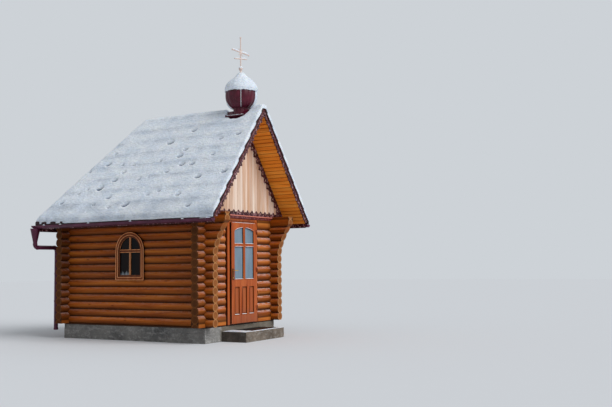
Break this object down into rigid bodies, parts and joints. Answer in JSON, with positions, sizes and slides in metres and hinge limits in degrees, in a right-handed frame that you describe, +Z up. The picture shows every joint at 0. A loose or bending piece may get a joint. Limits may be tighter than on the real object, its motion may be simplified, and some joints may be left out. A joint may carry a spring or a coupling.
{
  "type": "small log chapel",
  "caption": "Small log chapel with crossed corner logs, steep lace-trimmed gable roof hipped at the rear, onion dome with a cross, arched side windows and one hinged door.",
  "frame": {"origin": "middle of the foundation's underside, at ground level", "axes": "+Z up, +Y into the building from the door, +X to the right seen from the front"},
  "size_m": [3.785, 4.7759, 6.3408],
  "materials": {
    "concrete": "cast",
    "step_concrete": "cast",
    "dark_wood": "stained",
    "floor_wood": "planed",
    "side_logs": "varnished",
    "front_logs": "varnished",
    "log_ends": "sawn",
    "soffit_wood": "varnished",
    "pale_boards": "planed",
    "maroon_trim": "painted",
    "rose_trim": "painted",
    "roof_metal": "coated",
    "gutter_metal": "coated",
    "dome_metal": "coated",
    "cross_metal": "satin",
    "window_wood": "varnished",
    "window_glass": "clear",
    "door_wood": "varnished",
    "frosted_glass": "frosted",
    "hinge_steel": "brushed",
    "brass": "satin",
    "snow": "matte"
  },
  "bodies": {
    "chapel": {"foundation": "concrete", "entrance_step": "step_concrete", "bedding_boards": "dark_wood", "floor_boards": "floor_wood", "left_logs_even": "side_logs", "left_logs_odd": "side_logs", "right_logs_even": "side_logs", "right_logs_odd": "side_logs", "rear_logs_even": "front_logs", "rear_logs_odd": "front_logs", "front_logs_even": "front_logs", "front_logs_odd": "front_logs", "left_plate": "side_logs", "right_plate": "side_logs", "gable_beams": "front_logs", "tie_beams": "floor_wood", "blocking_boards": "soffit_wood", "gable_boards": "pale_boards", "gable_lace": "maroon_trim", "cornice_moulding": "rose_trim", "roof_deck_left": "soffit_wood", "roof_deck_right": "soffit_wood", "roof_deck_rear": "soffit_wood", "roof_metal_left": "roof_metal", "roof_metal_right": "roof_metal", "roof_metal_rear": "roof_metal", "ridge_cap": "roof_metal", "barge_boards": "rose_trim", "barge_lace": "maroon_trim", "fascia_boards": "maroon_trim", "gutter_left": "gutter_metal", "gutter_right": "gutter_metal", "gutter_rear": "gutter_metal", "downpipe": "gutter_metal", "dome_base": "dome_metal", "dome_drum": "dome_metal", "dome": "dome_metal", "roof_cross": "cross_metal", "left_window": "window_wood", "right_window": "window_wood", "window_glass": "window_glass", "door_frame": "door_wood", "hinge_pins": "hinge_steel"},
    "door": {"door_leaf": "door_wood", "door_glass": "frosted_glass", "door_beads": "door_wood", "hinge_knuckles": "hinge_steel", "door_handle": "brass"}
  },
  "joints": [
    {"name": "door_hinge", "type": "hinge", "parent": "chapel", "child": "door", "pos_m": [0.467, -1.9555, 1.37], "axis": [0, 0, 1], "range_deg": [0, 110]}
  ]
}
